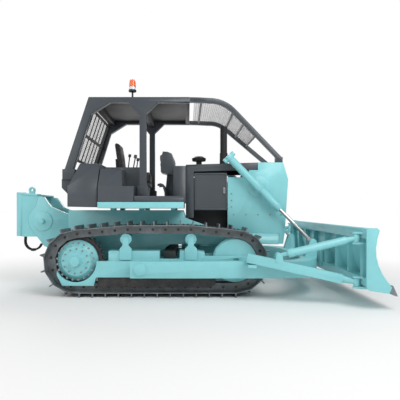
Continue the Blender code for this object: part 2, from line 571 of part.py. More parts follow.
def guard():
    step_z = HOOD_FRONT_Z - HOOD_TOP_THICKNESS - 0.14
    outline = [(GUARD_REAR_X, 1.02 + GAP), (HULL_FRONT_X + 0.005, 1.02 + GAP), (HULL_FRONT_X + 0.005, 0.83),
               (GUARD_FRONT_LOW_X, 0.83), (GUARD_FRONT_LOW_X + 0.03, 1.05), (GUARD_KNEE_X, GUARD_KNEE_Z),
               (GUARD_FRONT_TOP_X, HOOD_FRONT_Z), (GUARD_STEP_X + GAP, HOOD_FRONT_Z), (GUARD_STEP_X + GAP, HOOD_FRONT_Z - HOOD_TOP_THICKNESS - 0.01),
               (GUARD_STEP_X - 0.16, HOOD_FRONT_Z - HOOD_TOP_THICKNESS - 0.01), (GUARD_STEP_X - 0.20, step_z), (GUARD_REAR_X, step_z)]
    plate = 0.03
    inner = GUARD_HALF_WIDTH - plate
    hollow = [(GUARD_REAR_X - 0.1, 0.7), (GUARD_FRONT_LOW_X - 0.07, 0.7), (GUARD_FRONT_LOW_X - 0.04, 1.05),
              (GUARD_KNEE_X - 0.07, GUARD_KNEE_Z), (GUARD_FRONT_TOP_X - 0.05, HOOD_FRONT_Z - plate), (GUARD_STEP_X - 0.3, HOOD_FRONT_Z - plate),
              (GUARD_REAR_X - 0.1, HOOD_FRONT_Z - plate)]
    opening = block(GUARD_FRONT_LOW_X - 0.08, GUARD_KNEE_X + 0.1, -0.46, 0.46, 1.06, 2.02)
    hook = [(GUARD_FRONT_LOW_X, 1.02), (GUARD_FRONT_LOW_X + 0.13, 1.02), (GUARD_FRONT_LOW_X + 0.15, 1.05), (GUARD_FRONT_LOW_X + 0.15, 1.14),
            (GUARD_FRONT_LOW_X + 0.12, 1.14), (GUARD_FRONT_LOW_X + 0.11, 1.075), (GUARD_FRONT_LOW_X, 1.075)]
    yokes, bores = [prism(hook, y - 0.02, y + 0.02) for y in (-0.50, 0.50)], []
    for side, _ in SIDES:
        pad = [*arc(YOKE_X + 0.04, YOKE_Z, 0.20, -150, 150, 14)]
        yokes.append(prism(pad, *both_y(side, GUARD_HALF_WIDTH - OVERLAP, GUARD_HALF_WIDTH + 0.025)))
        yokes.append(cylinder(0.075, (YOKE_X, side * (GUARD_HALF_WIDTH - OVERLAP), YOKE_Z),
                              (YOKE_X, side * (LIFT_Y - BARREL_RADIUS - 0.018), YOKE_Z), 20))
        bores.append(cylinder(0.040 + GAP, (YOKE_X, side * (GUARD_HALF_WIDTH + 0.012), YOKE_Z), (YOKE_X, side * LIFT_Y, YOKE_Z), 16))
    node("radiator_guard", BODY_PAINT, [prism(outline, -GUARD_HALF_WIDTH, GUARD_HALF_WIDTH), *yokes],
         [prism(hollow, -inner, inner), opening, *bores])
    node("radiator_core", BLACK_PAINT, [block(GUARD_FRONT_LOW_X - 0.36, GUARD_FRONT_LOW_X - 0.14, -0.54, 0.54, 0.99, 2.20)])
    bars = [block(GUARD_FRONT_LOW_X - 0.080, GUARD_FRONT_LOW_X - 0.060, -0.50, 0.50, 1.00, 1.04),
            block(GUARD_FRONT_LOW_X - 0.080, GUARD_FRONT_LOW_X - 0.060, -0.50, 0.50, 2.03, 2.07)]
    count = 9
    for i in range(count):
        y = -0.44 + 0.88 * i / (count - 1)
        bars.append(block(GUARD_FRONT_LOW_X - 0.085, GUARD_FRONT_LOW_X - 0.055, y - 0.008, y + 0.008, 1.01, 2.06))
    node("front_grille", DARK_PAINT, bars)


def stacks():
    x = 2.55
    base = HOOD_REAR_Z + (x - HOOD_REAR_X) * (HOOD_FRONT_Z - HOOD_REAR_Z) / (GUARD_STEP_X - HOOD_REAR_X) + 0.004
    node("exhaust_stack", BLACK_PAINT, [
        cylinder(0.078, (x + 0.02, 0, base), (x + 0.02, 0, 2.56), 20),
        cylinder(0.068, (x + 0.02, 0, 2.54), (x + 0.02, 0, 3.08), 20)])
    x = 2.085
    base = HOOD_REAR_Z + (x - HOOD_REAR_X) * (HOOD_FRONT_Z - HOOD_REAR_Z) / (GUARD_STEP_X - HOOD_REAR_X) + 0.010
    node("air_precleaner", BLACK_PAINT, [
        cylinder(0.055, (x, 0, base), (x, 0, 2.42), 16),
        cylinder(0.130, (x, 0, 2.40), (x, 0, 2.455), 24, 0.140),
        cylinder(0.140, (x, 0, 2.45), (x, 0, 2.49), 24, 0.075)])


# ---- deck, tanks, seat and controls ----
def operator_station():
    under = DECK_TOP_Z - DECK_THICKNESS
    floor = block(DECK_REAR_X, DECK_FRONT_X, -DECK_HALF_WIDTH, DECK_HALF_WIDTH, under, DECK_TOP_Z)
    hollow = block(DECK_REAR_X + 0.02, DECK_FRONT_X - 0.02, -DECK_HALF_WIDTH + 0.02, DECK_HALF_WIDTH - 0.02, under - 0.1, DECK_TOP_Z - 0.015)
    legs = [block(x, x + 0.09, *both_y(side, 0.45, HULL_HALF_WIDTH), HULL_TOP_Z + GAP, DECK_TOP_Z - 0.01)
            for side, _ in SIDES for x in (DECK_REAR_X + 0.10, 0.98, DECK_FRONT_X - 0.24)]
    for side, name in SIDES:
        step = block(STEP_REAR_X, DECK_FRONT_X, *both_y(side, 0.70, DECK_HALF_WIDTH - 0.02), DECK_TOP_Z + GAP, STEP_TOP_Z)
        node(f"step_plate_{name}", DARK_PAINT, [step])
    deck = node("operator_deck", BODY_PAINT, [floor], [hollow])
    feet = deck.modifiers.new("Legs", "BOOLEAN")
    feet.operation = "UNION"
    feet.solver = "MANIFOLD"
    feet.operand_type = "COLLECTION"
    feet.collection = helpers("operator_deck_legs", legs)

    section = [(-TANK_HALF_WIDTH, TANK_LOW_Z), (TANK_HALF_WIDTH, TANK_LOW_Z), (TANK_HALF_WIDTH, TANK_SHOULDER_Z),
               (TANK_HALF_WIDTH - 0.22, TANK_TOP_Z), (-TANK_HALF_WIDTH + 0.22, TANK_TOP_Z), (-TANK_HALF_WIDTH, TANK_SHOULDER_Z)]
    tank_front = DECK_REAR_X - 0.02
    rear_slope = prism([(TANK_REAR_X - 0.1, TANK_SHOULDER_Z + 0.02), (TANK_REAR_X + 0.02, TANK_SHOULDER_Z + 0.02), (TANK_REAR_X + 0.16, TANK_TOP_Z + 0.02),
                        (TANK_REAR_X - 0.1, TANK_TOP_Z + 0.02)], -2, 2)
    node("fuel_tank", DARK_PAINT, [prism(section, TANK_REAR_X, tank_front, "x")], [rear_slope])

    for side, name in SIDES:
        x0, x1 = DECK_REAR_X, DECK_REAR_X + SIDE_BOX_LENGTH
        base = DECK_TOP_Z + GAP
        profile = [(0.62, base), (DECK_HALF_WIDTH - 0.02, base), (DECK_HALF_WIDTH - 0.02, SIDE_BOX_TOP_Z),
                   (DECK_HALF_WIDTH - 0.24, 2.16), (0.62, 2.16)]
        lid_end = prism([(x1 - 0.23, 2.4), (x1 - 0.23, 2.15), (x1 - 0.19, SIDE_BOX_TOP_Z), (x1 + 0.1, SIDE_BOX_TOP_Z), (x1 + 0.1, 2.4)], -2, 2)
        node(f"side_box_{name}", DARK_PAINT, [prism([(side * y, z) for y, z in profile], x0, x1, "x")], [lid_end])
        console = [(x0, base), (x0 + 0.70, base), (x0 + 0.72, CONSOLE_TOP_Z - 0.03), (x0 + 0.70, CONSOLE_TOP_Z), (x0, CONSOLE_TOP_Z)]
        levers = []
        if side == LEFT:
            for x, height in ((0.66, 2.57), (0.83, 2.49)):
                levers.append(cylinder(0.012, (x - 0.05, side * 0.50, CONSOLE_TOP_Z - 0.02), (x, side * 0.46, height), 8))
                levers.append(cylinder(0.030, (x - 0.006, side * 0.462, height - 0.03), (x + 0.006, side * 0.458, height + 0.03), 10))
        else:
            levers.append(cylinder(0.012, (0.86, side * 0.50, CONSOLE_TOP_Z - 0.02), (0.90, side * 0.48, 2.42), 8))
            levers.append(cylinder(0.030, (0.895, side * 0.482, 2.40), (0.905, side * 0.478, 2.46), 10))
        node(f"console_{name}", DARK_PAINT, [prism(console, *both_y(side, 0.40, 0.61)), *levers])

    low, rear = DECK_TOP_Z + GAP, SEAT_REAR_X
    node("seat_base", BLACK_PAINT, [
        block(rear + 0.08, rear + 0.50, -0.20, 0.20, low, SEAT_TOP_Z - 0.22),
        block(rear + 0.02, rear + 0.56, -0.26, 0.26, SEAT_TOP_Z - 0.23, SEAT_TOP_Z - 0.15),
        prism([(rear - 0.08, SEAT_TOP_Z - 0.23), (rear + 0.04, SEAT_TOP_Z - 0.23), (rear - 0.075, SEAT_TOP_Z + 0.30),
               (rear - 0.115, SEAT_TOP_Z + 0.30)], -0.12, 0.12)])
    node("seat_cushion", SEAT_VINYL, [block(rear + 0.055, rear + 0.56, -0.25, 0.25, SEAT_TOP_Z - 0.149, SEAT_TOP_Z)])
    back = [(rear + 0.042, SEAT_TOP_Z - 0.14), (rear + 0.045, SEAT_TOP_Z + 0.02), (rear + 0.01, SEAT_TOP_Z + 0.36), (rear - 0.03, SEAT_TOP_Z + 0.57),
            (rear - 0.085, SEAT_TOP_Z + 0.59), (rear - 0.11, SEAT_TOP_Z + 0.56), (rear - 0.074, SEAT_TOP_Z + 0.31)]
    node("seat_back", SEAT_VINYL, [prism([(x + 0.004, z) for x, z in back], -0.24, 0.24)])

    cowl = [(COWL_X, DECK_TOP_Z + GAP), (HOOD_REAR_X - GAP, DECK_TOP_Z + GAP), (HOOD_REAR_X - GAP, 2.25), (COWL_X, 2.25)]
    dash = [(1.35, 2.17), (1.60, 2.10), (1.62, 2.38), (1.56, 2.52), (1.48, 2.555), (1.39, 2.56), (1.345, 2.42)]
    stalk = [(1.41, DECK_TOP_Z + GAP), (COWL_X + 0.03, DECK_TOP_Z + GAP), (COWL_X + 0.03, 2.20), (1.47, 2.20)]
    pedal = [(1.43, 1.60), (1.46, 1.60), (1.445, 1.80), (1.41, 1.93), (1.35, 1.955), (1.29, 1.94), (1.29, 1.90), (1.35, 1.91), (1.39, 1.88),
             (1.42, 1.78)]
    pedals = [prism(pedal, y, y + 0.08) for y in (-0.27, 0.19)]
    shaft = block(1.44, COWL_X + 0.02, -0.28, 0.28, 1.60, 1.65)
    node("instrument_console", DARK_PAINT, [prism(cowl, -HOOD_HALF_WIDTH + 0.01, HOOD_HALF_WIDTH - 0.01),
                                            prism(dash, -0.24, 0.24), prism(stalk, -0.10, 0.10), shaft, *pedals])


# ---- roll-over canopy ----
def canopy():
    top, beam = CANOPY_TOP_Z, CANOPY_TOP_Z - ROOF_BEAM_HEIGHT
    lean = (CANOPY_REAR_X - REAR_POST_FOOT_X) / (top - REAR_POST_FOOT_Z)

    def rear_edge(z):
        return REAR_POST_FOOT_X + (z - REAR_POST_FOOT_Z) * lean

    depth = POST_DEPTH * 1.25
    front0, front1 = FRONT_POST_X - POST_DEPTH / 2, FRONT_POST_X + POST_DEPTH / 2
    side_outline = [
        (rear_edge(REAR_POST_FOOT_Z), REAR_POST_FOOT_Z), (rear_edge(REAR_POST_FOOT_Z) + depth, REAR_POST_FOOT_Z),
        (rear_edge(3.10) + depth * 0.9, 3.10), (0.52, beam), (0.85, beam), (front0, 3.09),
        (front0, FRONT_POST_FOOT_Z), (front1, FRONT_POST_FOOT_Z), (front1, 3.11), (1.35, beam),
        (CANOPY_FRONT_X, beam), (CANOPY_FRONT_X, top), (rear_edge(top), top)]
    for side, name in SIDES:
        y0, y1 = both_y(side, CANOPY_HALF_WIDTH - POST_WIDTH, CANOPY_HALF_WIDTH)
        foot_rear = [(REAR_POST_FOOT_X - 0.03, REAR_POST_FOOT_Z - 0.16), (REAR_POST_FOOT_X + 0.16, REAR_POST_FOOT_Z - 0.16),
                     (REAR_POST_FOOT_X + 0.19, REAR_POST_FOOT_Z + 0.02), (REAR_POST_FOOT_X - 0.03, REAR_POST_FOOT_Z + 0.02)]
        bracket = [(REAR_POST_FOOT_X - 0.05, REAR_POST_FOOT_Z - 0.30), (TANK_REAR_X - GAP, REAR_POST_FOOT_Z - 0.46), (TANK_REAR_X - GAP, REAR_POST_FOOT_Z - 0.25),
                   (REAR_POST_FOOT_X + 0.16, REAR_POST_FOOT_Z - 0.15), (REAR_POST_FOOT_X - 0.05, REAR_POST_FOOT_Z - 0.15)]
        foot_front = block(front0 - 0.035, front1 + 0.035, y0 - 0.02, y1 + 0.02, STEP_TOP_Z + GAP, FRONT_POST_FOOT_Z + 0.16)
        node(f"canopy_side_{name}", DARK_PAINT, [prism(side_outline, y0, y1), prism(foot_rear, y0 - 0.015, y1 + 0.015),
                                                prism(bracket, y0 + 0.02, y1 - 0.02), foot_front])
    inner = CANOPY_HALF_WIDTH - POST_WIDTH - GAP
    node("canopy_roof", BLACK_PAINT, [block(rear_edge(top) + 0.02, CANOPY_FRONT_X, -inner, inner, top - 0.030, top),
                                      block(rear_edge(top) + 0.02, rear_edge(top) + 0.14, -inner, inner, top - 0.12, top - 0.02),
                                      block(front0, front1, -inner, inner, top - 0.16, top - 0.02),
                                      block(CANOPY_FRONT_X - 0.08, CANOPY_FRONT_X - GAP, -inner, inner, top - 0.085, top - 0.02)])

    def screen_point(z, out):
        return (rear_edge(z) + 0.06 + out, z)

    bars = []
    for z in (2.32, 2.77, 3.22):
        bars.append(prism([screen_point(z, -0.012), screen_point(z, 0.012), screen_point(z + 0.04, 0.012), screen_point(z + 0.04, -0.012)],
                          -inner, inner))
    count = 8
    for i in range(count):
        y = -inner + 0.012 + (2 * inner - 0.024) * i / (count - 1)
        bars.append(prism([screen_point(2.325, -0.008), screen_point(2.325, 0.008), screen_point(3.255, 0.008), screen_point(3.255, -0.008)],
                          y - 0.012, y + 0.012))
    node("rear_screen", BLACK_PAINT, bars)

    bend = arc(2.30, 2.78, 0.555, 90, 47, 5)
    foot = (3.57, 2.36)
    rails, bars = [], []
    for side, _ in SIDES:
        def at(x, z):
            """A point on the brush guard, which narrows from the roof to the radiator guard."""
            share = min(1.0, max(0.0, (x - 2.3) / (foot[0] - 2.3)))
            return (x, side * (CANOPY_HALF_WIDTH - RAIL_SIZE / 2 - share * 0.40), z)

        rails.append(swept_bar([at(CANOPY_FRONT_X + GAP, top - 0.045), at(2.02, top - 0.046), *[at(x, z) for x, z in bend], at(*foot)],
                               RAIL_SIZE, RAIL_SIZE))
        rails.append(block(foot[0] - 0.10, foot[0] + 0.02, *both_y(side, 0.47, 0.60), HOOD_FRONT_Z + GAP, foot[1] + 0.05))
    for x, z in ((2.10, 3.34), (bend[-1][0], bend[-1][1]), (2.88, bend[-1][1] - (2.88 - bend[-1][0]) * (bend[-1][1] - foot[1]) / (foot[0] - bend[-1][0])),
                 (3.10, bend[-1][1] - (3.10 - bend[-1][0]) * (bend[-1][1] - foot[1]) / (foot[0] - bend[-1][0]))):
        half = CANOPY_HALF_WIDTH - RAIL_SIZE / 2 - min(1.0, max(0.0, (x - 2.3) / (foot[0] - 2.3))) * 0.40
        bars.append(cylinder(0.022, (x, -half, z), (x, half, z), 10))
    node("brush_guard", DARK_PAINT, [*rails[:1], *rails[1:], *bars])

    pole = (BEACON_X, BEACON_Y, top)

    def above(height):
        return (pole[0], pole[1], top + height)

    node("beacon", LAMP_PLASTIC, [
        cylinder(0.022, above(GAP), above(0.09), 12),
        cylinder(0.085, above(0.08), above(0.100), 20),
        cylinder(0.066, above(0.095), above(0.24), 20),
        cylinder(0.077, above(0.235), above(0.39), 20),
        cylinder(0.077, above(0.389), above(BEACON_HEIGHT), 20, 0.050)])


# ---- winch ----
WINCH_CASE = [(-0.905, 1.70), (-0.82, 1.69), (-0.68, 1.50), (-0.37, 1.37), (-0.31, 1.30), (-0.31, 0.98), (-0.72, 0.74), (-0.80, 0.78),
              (-0.975, 1.007), (-1.075, 1.149), (-1.10, 1.28), (-1.06, 1.40), (-0.96, 1.50)]


def winch():
    plates = [prism(WINCH_CASE, *both_y(side, WINCH_HALF_WIDTH - WINCH_PLATE - 0.07, WINCH_HALF_WIDTH)) for side, _ in SIDES]
    front_wall = block(-0.42, HULL_REAR_X - GAP, -WINCH_HALF_WIDTH + 0.01, WINCH_HALF_WIDTH - 0.01, 0.99, 1.36)
    covers = [cylinder(0.18, (DRUM_X, side * (WINCH_HALF_WIDTH - 0.01), DRUM_Z), (DRUM_X, side * (WINCH_HALF_WIDTH + 0.018), DRUM_Z), 28) for side, _ in SIDES]
    caps = [cylinder(0.055, (DRUM_X, side * WINCH_HALF_WIDTH, DRUM_Z), (DRUM_X, side * (WINCH_HALF_WIDTH + 0.09), DRUM_Z), 16, 0.040) for side, _ in SIDES]
    node("winch_case", BODY_PAINT, [front_wall, *plates, *covers, *caps])
    inside = WINCH_HALF_WIDTH - WINCH_PLATE - 0.07 - 0.008
    node("winch_drum", TRACK_STEEL, [
        cylinder(DRUM_RADIUS, (DRUM_X, -inside + 0.01, DRUM_Z), (DRUM_X, inside - 0.01, DRUM_Z), 28),
        cylinder(DRUM_FLANGE_RADIUS, (DRUM_X, -inside, DRUM_Z), (DRUM_X, -inside + 0.025, DRUM_Z), 28),
        cylinder(DRUM_FLANGE_RADIUS, (DRUM_X, inside - 0.025, DRUM_Z), (DRUM_X, inside, DRUM_Z), 28)], pivot=(DRUM_X, 0, DRUM_Z))

    cheek = [(-1.20, 0.95), (-0.936, 0.95), (-0.979, 1.007), (-1.079, 1.149), (-1.104, 1.28), (-1.064, 1.40), (-0.965, 1.497), (-0.909, 1.71), (-1.20, 1.75)]
    low_y, high_y = WINCH_HALF_WIDTH - 0.14, WINCH_HALF_WIDTH - 0.005
    top_plate = prism([(-1.28, 1.745), (-0.92, 1.705), (-0.92, 1.735), (-1.28, 1.775)], -high_y - 0.02, high_y + 0.02)
    posts = [cylinder(0.085, (WINCH_REAR_X + 0.085, side * (high_y - 0.07), 0.96), (WINCH_REAR_X + 0.085, side * (high_y - 0.07), 1.77), 20) for side, _ in SIDES]
    webs = [prism(cheek, *both_y(side, high_y - 0.04, high_y)) for side, _ in SIDES]
    beams = [block(-1.23, -1.13, -high_y + 0.02, high_y - 0.02, z, z + 0.08) for z in (0.955, 1.675)]
    rollers = [cylinder(0.05, (-1.24, -high_y + 0.04, z), (-1.24, high_y - 0.04, z), 16) for z in (1.12, 1.56)]
    eye = [*arc(EYE_X, 1.835, 0.064, 0, 360, 16)][:-1]
    eye_plate = prism(eye, -0.02, 0.02)
    eye_foot = block(EYE_X - 0.055, EYE_X + 0.055, -0.02, 0.02, 1.73, 1.83)
    hole = cylinder(0.024, (EYE_X, -0.1, 1.835), (EYE_X, 0.1, 1.835), 12)
    node("fairlead", BODY_PAINT, [top_plate, *posts, *webs, *beams, *rollers, eye_plate, eye_foot], [hole])


HOSE_RADIUS = 0.016
HOSE_Y = (-0.365, -0.425)


def winch_hoses():
    """Two hoses that loop down from under the fairlead to the winch case, joined by a clamp."""
    tubes = []
    for y in HOSE_Y:
        loop = [(x, y, z) for x, z in arc(-1.01, 0.86, 0.155, 180, 340, 10)]
        tubes.append(swept_tube([(-1.16, y, 0.948), (-1.162, y, 0.91), *loop, (-0.845, y, 0.812)], HOSE_RADIUS))
    clamp = block(-1.04, -0.98, HOSE_Y[1] - 0.022, HOSE_Y[0] + 0.022, 0.683, 0.727)
    node("winch_hoses", BLACK_PAINT, [clamp, *tubes])


# ---- push frame, blade and arms ----
PLAN_OUTER = [(3.45, 1.50), (3.78, 1.40), (4.02, 1.14), (4.16, 0.75)]
PLAN_INNER = [(3.86, 0.70), (3.80, 0.98), (3.62, 1.24), (3.38, 1.36)]
LUG_GAP = 0.012
LUG_THICKNESS = 0.030
BALL_X, BALL_Z = 4.30, 0.50
RIBS = ((0.35, 0.03), (0.90, 0.03), (1.45, 0.03), (1.95, 0.05))  # distance from the middle, thickness
EAR_Y = 1.95
EAR_OFFSET = 0.076
EAR_THICKNESS = 0.030


def push_frame():
    rear = TRUNNION_X - 0.16
    plan = [(rear, 1.50), *PLAN_OUTER, (CROSS_FRONT_X, 0.30), (CROSS_FRONT_X, -0.30),
            *[(x, -y) for x, y in reversed(PLAN_OUTER)], (rear, -1.50), (rear, -1.36),
            *[(x, -y) for x, y in reversed(PLAN_INNER)], *PLAN_INNER, (rear, 1.36)]
    shapes = [prism(plan, ARM_LOW_Z, ARM_TOP_Z, "z")]
    shapes.append(prism([(4.05, 0.40), (4.05, 0.60), (BALL_X - 0.02, 0.57), (BALL_X - 0.02, 0.43)], -0.16, 0.16))
    shapes.append(cylinder(0.085, (BALL_X - 0.04, 0, BALL_Z), (BALL_X + 0.07, 0, BALL_Z), 16))
    for side, _ in SIDES:
        for face in (-1, 1):
            middle = LIFT_Y + face * (EYE_WIDTH / 2 + LUG_GAP + LUG_THICKNESS / 2)
            lug = [(ROD_EYE_X - 0.15, ARM_TOP_Z - 0.02), (ROD_EYE_X + 0.07, ARM_TOP_Z - 0.02), *arc(ROD_EYE_X, ROD_EYE_Z, 0.065, 0, 180, 8)]
            shapes.append(prism(lug, *both_y(side, middle - LUG_THICKNESS / 2, middle + LUG_THICKNESS / 2)))
        block_low, block_high = both_y(side, ARM_OUTER_Y - OVERLAP, ARM_OUTER_Y + 0.035)
        shapes.append(cylinder(0.10, (TRUNNION_X, block_low, TRUNNION_Z), (TRUNNION_X, block_high, TRUNNION_Z), 20))
        shelf = block(2.80, 2.93, *both_y(side, ARM_OUTER_Y - 0.06, 1.70), 0.545, 0.594)
        shapes.append(shelf)
    bores = [cylinder(0.071, (TRUNNION_X, side * 1.2, TRUNNION_Z), (TRUNNION_X, side * (ARM_OUTER_Y - 0.01), TRUNNION_Z), 20) for side, _ in SIDES]
    node("push_frame", BODY_PAINT, shapes, bores, BLADE_PIVOT)


def blade():
    """A curved mouldboard with a box beam along its top and bottom, ribs behind it, and end plates."""
    face = [(4.600, 1.150), (4.565, 1.02), (4.548, 0.90), (4.553, 0.78), (4.585, 0.65), (4.640, 0.53), (4.715, 0.42), (4.778, 0.34)]
    back = [(4.640, 0.46), (4.595, 0.53), (4.545, 0.65), (4.515, 0.78), (4.510, 0.90), (4.527, 1.02), (4.528, 1.03)]
    half = BLADE_WIDTH / 2
    rear = BLADE_REAR_X
    board = [(rear + 0.01, 1.03), (rear + 0.01, BLADE_TOP_Z - 0.01), (rear + 0.05, BLADE_TOP_Z), *face, (4.74, 0.262),
             (rear + 0.06, 0.30), (rear + 0.01, 0.35), (rear + 0.01, 0.46), *back]
    ends = [(rear, 0.33), (rear, BLADE_TOP_Z - 0.02), (rear + 0.04, BLADE_TOP_Z), (4.575, BLADE_TOP_Z), (4.606, 1.150),
            *[(x + 0.006, z) for x, z in face[1:]], (4.745, 0.250), (rear + 0.05, 0.29)]
    shapes = [prism(board, -half + END_PLATE - 0.005, half - END_PLATE + 0.005)]
    rib = [(rear + 0.015, 0.44), (4.66, 0.45), (4.62, 0.53), (4.57, 0.65), (4.54, 0.78), (4.535, 0.90), (4.53, 1.04), (rear + 0.015, 1.04)]
    for side, _ in SIDES:
        shapes.append(prism(ends, *both_y(side, half - END_PLATE, half)))
        for y, thickness in RIBS:
            shapes.append(prism(rib, *both_y(side, y - thickness / 2, y + thickness / 2)))
        for z in (0.377, 1.030):
            for face_up in (-1, 1):
                low = z + face_up * EAR_OFFSET - EAR_THICKNESS / 2
                ear = [(rear + 0.08, EAR_Y - 0.09), (rear + 0.08, EAR_Y + 0.09), (rear - 0.05, EAR_Y + 0.06), (rear - 0.11, EAR_Y),
                       (rear - 0.05, EAR_Y - 0.06)]
                shapes.append(prism([(a, side * b) for a, b in ear], low, low + EAR_THICKNESS, "z"))
    shapes.append(block(4.40, rear + 0.08, -0.20, 0.20, 0.36, 0.66))
    node("blade", BODY_PAINT, shapes, pivot=BLADE_PIVOT)

    tip_x, tip_z = BLADE_TIP_X, BLADE_TIP_Z
    edge = [(4.785, 0.352), (4.800, 0.366), (tip_x, tip_z), (tip_x - 0.035, tip_z + 0.004), (4.751, 0.2545), (4.7845, 0.336)]
    node("cutting_edge", BODY_PAINT, [prism(edge, -half, half)], pivot=BLADE_PIVOT)


def arms():
    """The lower push arms and the screw braces that set the blade's pitch by hand."""
    for side, name in SIDES:
        start, end = Vector((2.80, side * 1.62, 0.700)), Vector((4.19, side * 1.83, 0.408))
        ball = Vector((BLADE_REAR_X - 0.05, side * 1.95, 0.377))
        beam = swept_bar([start, end], 0.140, 0.140)
        neck = cylinder(0.062, end - (end - start).normalized() * 0.02, ball + (end - ball).normalized() * 0.02, 14, 0.038)
        joint = cylinder(0.045, ball + Vector((0, 0, -0.056)), ball + Vector((0, 0, 0.056)), 16)
        lug_x, lug_z = 3.27, 0.708
        top = start + (end - start) * ((lug_x - start.x) / (end.x - start.x))
        lug_y = top.y
        lug = [(lug_x - 0.07, top.z + 0.04), (lug_x + 0.07, top.z + 0.03), *arc(lug_x, lug_z + 0.03, 0.048, 0, 180, 8)]
        lugs = [prism(lug, lug_y + face * 0.060 - 0.012, lug_y + face * 0.060 + 0.012) for face in (-1, 1)]
        node(f"push_arm_{name}", BODY_PAINT, [beam, neck, joint, *lugs], pivot=BLADE_PIVOT)

        low, high = Vector((lug_x, lug_y, lug_z + 0.03)), Vector((BLADE_REAR_X - 0.05, side * 1.95, 1.030))
        along = (high - low).normalized()
        node(f"blade_brace_{name}", BODY_PAINT, [
            cylinder(0.060, low + along * 0.18, high - along * 0.14, 18),
            cylinder(0.068, low + along * 0.15, low + along * 0.24, 18),
            cylinder(0.034, low + along * 0.02, low + along * 0.20, 14),
            cylinder(0.045, low + Vector((0, -0.040, 0)), low + Vector((0, 0.040, 0)), 16),
            cylinder(0.050, high - along * 0.16, high - along * 0.03, 14, 0.036),
            cylinder(0.045, high + Vector((0, 0, -0.056)), high + Vector((0, 0, 0.056)), 16)], pivot=BLADE_PIVOT)


# ---- lift cylinders ----
def lift_cylinders():
    for side, name in SIDES:
        yoke, eye = Vector((YOKE_X, side * LIFT_Y, YOKE_Z)), Vector((ROD_EYE_X, side * LIFT_Y, ROD_EYE_Z))
        along = (eye - yoke).normalized()
        up = Vector((0, side, 0)).cross(along)
        top, mouth = yoke - along * BARREL_ABOVE_YOKE, yoke + along * BARREL_BELOW_YOKE
        bore = cylinder(ROD_RADIUS + 0.006, yoke - along * 0.60, mouth + along * 0.1, 16)
        inner_pin = yoke - Vector((0, side * 0.02, 0))
        node(f"lift_cylinder_{name}", BODY_PAINT, [
            cylinder(BARREL_RADIUS, top, mouth, 20),
            cylinder(0.080, yoke - along * 0.09, yoke + along * 0.09, 20),
            cylinder(0.040, (YOKE_X, side * (LIFT_Y - 0.03), YOKE_Z), (YOKE_X, side * (GUARD_HALF_WIDTH + 0.018), YOKE_Z), 16),
            cylinder(0.076, mouth - along * 0.09, mouth, 20, 0.060),
            cylinder(0.080, top - along * 0.01, top + along * 0.07, 20),
            cylinder(0.045, top + along * 0.03 - up * 0.115, top + along * 0.03 + up * 0.115, 14),
        ], [bore], yoke)
        node(f"lift_rod_{name}", CHROME, [
            cylinder(ROD_RADIUS, mouth - along * ROD_INSIDE, eye - along * 0.03, 16),
            cylinder(EYE_RADIUS, eye - Vector((0, EYE_WIDTH / 2, 0)), eye + Vector((0, EYE_WIDTH / 2, 0)), 20),
        ], pivot=eye)


def centre_on_length():
    """Moves every piece so that X = 0 is the middle of the overall length."""
    for piece in bpy.data.objects:
        piece.location.x -= ORIGIN_X


tracks()
wheels()
track_frames()
hull()
hood()
guard()
stacks()
operator_station()
canopy()
winch()
winch_hoses()
push_frame()
blade()
arms()
lift_cylinders()
centre_on_length()
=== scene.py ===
"""The bulldozer as it is seen: finishes, softened edges, fasteners and fittings over the CAD, and the studio.

Metres. Lengths along the machine are from the sprocket's axle, and at() turns them into the shared frame.
"""

from math import atan2, cos, hypot, pi, radians, sin, sqrt

import bmesh
import bpy
from mathutils import Matrix, Vector


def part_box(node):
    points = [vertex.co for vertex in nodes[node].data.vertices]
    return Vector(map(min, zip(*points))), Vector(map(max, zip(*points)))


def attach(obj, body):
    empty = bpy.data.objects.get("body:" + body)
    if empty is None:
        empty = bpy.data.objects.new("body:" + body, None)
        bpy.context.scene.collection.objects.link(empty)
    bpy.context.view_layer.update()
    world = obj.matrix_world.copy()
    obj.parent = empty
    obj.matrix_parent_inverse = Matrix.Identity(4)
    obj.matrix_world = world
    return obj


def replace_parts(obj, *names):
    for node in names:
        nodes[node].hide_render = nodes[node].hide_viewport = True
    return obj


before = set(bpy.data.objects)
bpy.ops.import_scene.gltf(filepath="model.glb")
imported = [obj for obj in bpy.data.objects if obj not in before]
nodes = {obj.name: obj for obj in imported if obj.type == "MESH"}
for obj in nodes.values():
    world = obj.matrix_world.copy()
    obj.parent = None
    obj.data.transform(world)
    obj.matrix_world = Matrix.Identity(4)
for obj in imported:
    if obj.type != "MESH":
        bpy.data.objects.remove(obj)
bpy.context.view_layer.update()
for thing in bpy.context.selected_objects:
    thing.select_set(False)

ORIGIN_X = 1.77  # from the sprocket's axle, which the lengths below start at, to the row frame's origin
SIDES = (-1, 1)


# ---- finishes ----
def srgb(hex_colour):
    """A hex colour as linear RGBA."""
    parts = [int(hex_colour[i:i + 2], 16) / 255 for i in (1, 3, 5)]
    return (*[c / 12.92 if c <= 0.04045 else ((c + 0.055) / 1.055) ** 2.4 for c in parts], 1)


def add_node(tree, kind, settings=(), links=()):
    """A new node with its inputs set and its inputs linked, each as (name, value or output) pairs."""
    made = tree.nodes.new(kind)
    for name, value in settings:
        made.inputs[name].default_value = value
    for name, output in links:
        tree.links.new(output, made.inputs[name])
    return made


PATCHES_FROM, PATCHES_TO = 0.42, 0.72  # the part of the noise over which the worn colour comes in
SMOOTHER, ROUGHER = 0.07, 0.10  # how far the gloss goes either side of the finish's roughness
GRAIN_HEIGHT = 0.001


